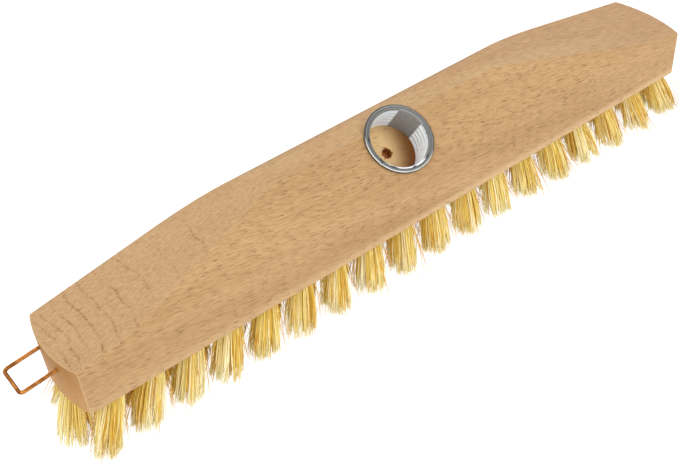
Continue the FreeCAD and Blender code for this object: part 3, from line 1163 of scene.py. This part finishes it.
        # Painted shade in the tones: the middle row darker, the outer rows darker on the side towards it.
        shade_tone = self.middle_shade_tone
        inward = shade_tone * self.facing_shade_share
        for row, places, side, end_lean, spread, tone in (
            (Row.FRONT, outer, -1, self.end_lean, self.tip_radius, (0.0, 0.0, inward)),
            (Row.MIDDLE, middle, 0, self.middle_end_lean, self.middle_tip_radius, (shade_tone, 0.0, 0.0)),
            (Row.BACK, outer, 1, self.end_lean, self.tip_radius, (0.0, 0.0, -inward)),
        ):
            for number, x in enumerate(places, start=1):
                name = f"{row.value}_{number:02d}"
                place = (x, side * self.row_spacing)
                right = int(x > 0)
                if abs(x) < self.row_end:
                    splay = self.row_lean + (self.corner_splay if number == 1 else 0.0)
                    lean = (end_lean[right] * x / self.outer_end, side * splay)
                    yield TuftPlan(name, place, lean, spread, tone)
                else:
                    # Painted shade: the end tufts darker on the side towards the rest of the row.
                    outward = (0.0, -shade_tone * np.sign(x), 0.0)
                    yield TuftPlan(name, place, self.last_lean[right], self.end_tip_radius[right], outward,
                                   self.end_stray_tone)

    def build(self) -> int:
        """Model every tuft.

        Returns:
            The number of fibres.
        """
        blank, faces = FibreBlank().build()
        chance = np.random.default_rng(self.seed)
        material = self.finish.material()
        total = self.fibres + self.strays
        all_faces = [
            tuple(corner + len(blank) * fibre for corner in face)
            for fibre in range(total)
            for face in faces
        ]
        made = 0
        for plan in self.plans():
            points, tone, along = self.bent(blank, plan, chance)
            mesh = bpy.data.meshes.new(f"fibres_{plan.name}")
            mesh.from_pydata(points, [], all_faces)
            Modelling.note(mesh, self.finish.tone_attribute, tone)
            Modelling.note(mesh, self.finish.along_attribute, along)
            mesh.materials.append(material)
            piece = bpy.data.objects.new(f"fibres_{plan.name}", mesh)
            bpy.context.scene.collection.objects.link(piece)
            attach(piece, BODY)
            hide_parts(f"tuft_{plan.name}")
            made += total
        return made


@dataclass(frozen=True)
class FloorFinish(Finish):
    """White floor that keeps the object's shadow."""

    white: Colour = (0.35, 0.35, 0.35, 1.0)
    glow: float = 0.88

    def paint(self, graph: Graph, shader: bpy.types.Node) -> None:
        """Colour the shader as a white floor.

        Args:
            graph: Material's nodes.
            shader: The Principled shader.
        """
        graph.feed(shader, {
            "Base Color": self.white,
            "Roughness": 0.9,
            "Specular IOR Level": 0.0,
            "Emission Color": (1.0, 1.0, 1.0, 1.0),
            "Emission Strength": self.glow,
        })


@dataclass(frozen=True)
class SoftLight:
    """One square studio light."""

    name: str
    place: Triple
    side: float
    power: float


@dataclass
class Studio:
    """White floor, soft lights, white surroundings and the photograph's camera."""

    lights: tuple[SoftLight, ...] = (
        SoftLight("key_light", (0.5, -0.75, 1.0), 0.5, 6.6),
        SoftLight("fill_light", (-0.9, -0.3, 1.0), 0.8, 6.6),
        SoftLight("front_light", (-0.3, -1.0, 0.3), 0.6, 2.0),
        SoftLight("back_light", (-0.2, 0.9, 1.1), 0.9, 4.0),
    )
    target: Triple = (0.0, 0.0, 0.04)
    surroundings: float = 0.55
    floor_side: float = 8.0
    floor_level: float = -0.2 * MM
    camera_place: Triple = (-0.20628, -0.26547, 0.31666)
    camera_right: Triple = (0.790795, -0.608442, -0.066651)
    camera_up: Triple = (0.45324, 0.50891, 0.731836)
    camera_back: Triple = (-0.41136, -0.608941, 0.678214)
    lens_mm: float = 58.697
    sensor_mm: float = 36.0

    def lay_floor(self) -> None:
        """Lay the floor under the tips."""
        Modelling.start()
        bpy.ops.mesh.primitive_plane_add(size=self.floor_side, location=(0, 0, self.floor_level))
        floor = bpy.context.object
        floor.name = "floor"
        FloorFinish("white_floor").dress(floor)

    def hang_lights(self) -> None:
        """Hang the soft lights, all aimed at the object."""
        for light in self.lights:
            lamp = bpy.data.lights.new(light.name, "AREA")
            lamp.shape = "SQUARE"
            lamp.size = light.side
            lamp.energy = light.power
            holder = bpy.data.objects.new(light.name, lamp)
            holder.location = light.place
            aim = Vector(self.target) - Vector(light.place)
            holder.rotation_euler = aim.to_track_quat("-Z", "Y").to_euler()
            bpy.context.scene.collection.objects.link(holder)

    def light_world(self) -> None:
        """Make the surroundings white to the camera and in reflections, and softer to everything else."""
        world = bpy.data.worlds.new("surroundings")
        world.use_nodes = True
        world.node_tree.nodes.clear()
        graph = Graph(world.node_tree)
        rays = graph.add("ShaderNodeLightPath")
        mirrored = graph.math("MAXIMUM", rays.outputs["Is Glossy Ray"], rays.outputs["Is Transmission Ray"])
        seen = graph.math("MAXIMUM", rays.outputs["Is Camera Ray"], mirrored)
        strength = graph.step(seen, 0.0, 1.0, self.surroundings, 1.0)
        sky = graph.add("ShaderNodeBackground", {"Color": (1.0, 1.0, 1.0, 1.0), "Strength": strength})
        graph.add("ShaderNodeOutputWorld", {"Surface": sky.outputs[0]})
        bpy.context.scene.world = world

    def place_camera(self) -> None:
        """Put the camera where the photograph was taken from."""
        data = bpy.data.cameras.new("photo_camera")
        data.lens = self.lens_mm
        data.sensor_width = self.sensor_mm
        data.sensor_fit = "HORIZONTAL"
        data.clip_start = 0.01
        camera = bpy.data.objects.new("photo_camera", data)
        turn = Matrix((self.camera_right, self.camera_up, self.camera_back)).transposed()
        camera.matrix_world = Matrix.Translation(self.camera_place) @ turn.to_4x4()
        bpy.context.scene.collection.objects.link(camera)
        bpy.context.scene.camera = camera

    def build(self) -> None:
        """Set up the whole studio."""
        self.lay_floor()
        self.hang_lights()
        self.light_world()
        self.place_camera()
        bpy.context.scene.view_settings.view_transform = "Standard"


def main() -> None:
    """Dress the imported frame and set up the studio."""
    logging.basicConfig(level=logging.INFO, format="%(name)s: %(message)s")
    nodes = frame["nodes"]
    BeechBlock().dress(nodes)
    WireWork().dress(nodes)
    socket = ThreadedSocket().build()
    LOG.info("socket with %d faces", len(socket.data.polygons))
    LOG.info("tufts with %d fibres", Tufts().build())
    Studio().build()


if __name__ == "__main__":
    main()
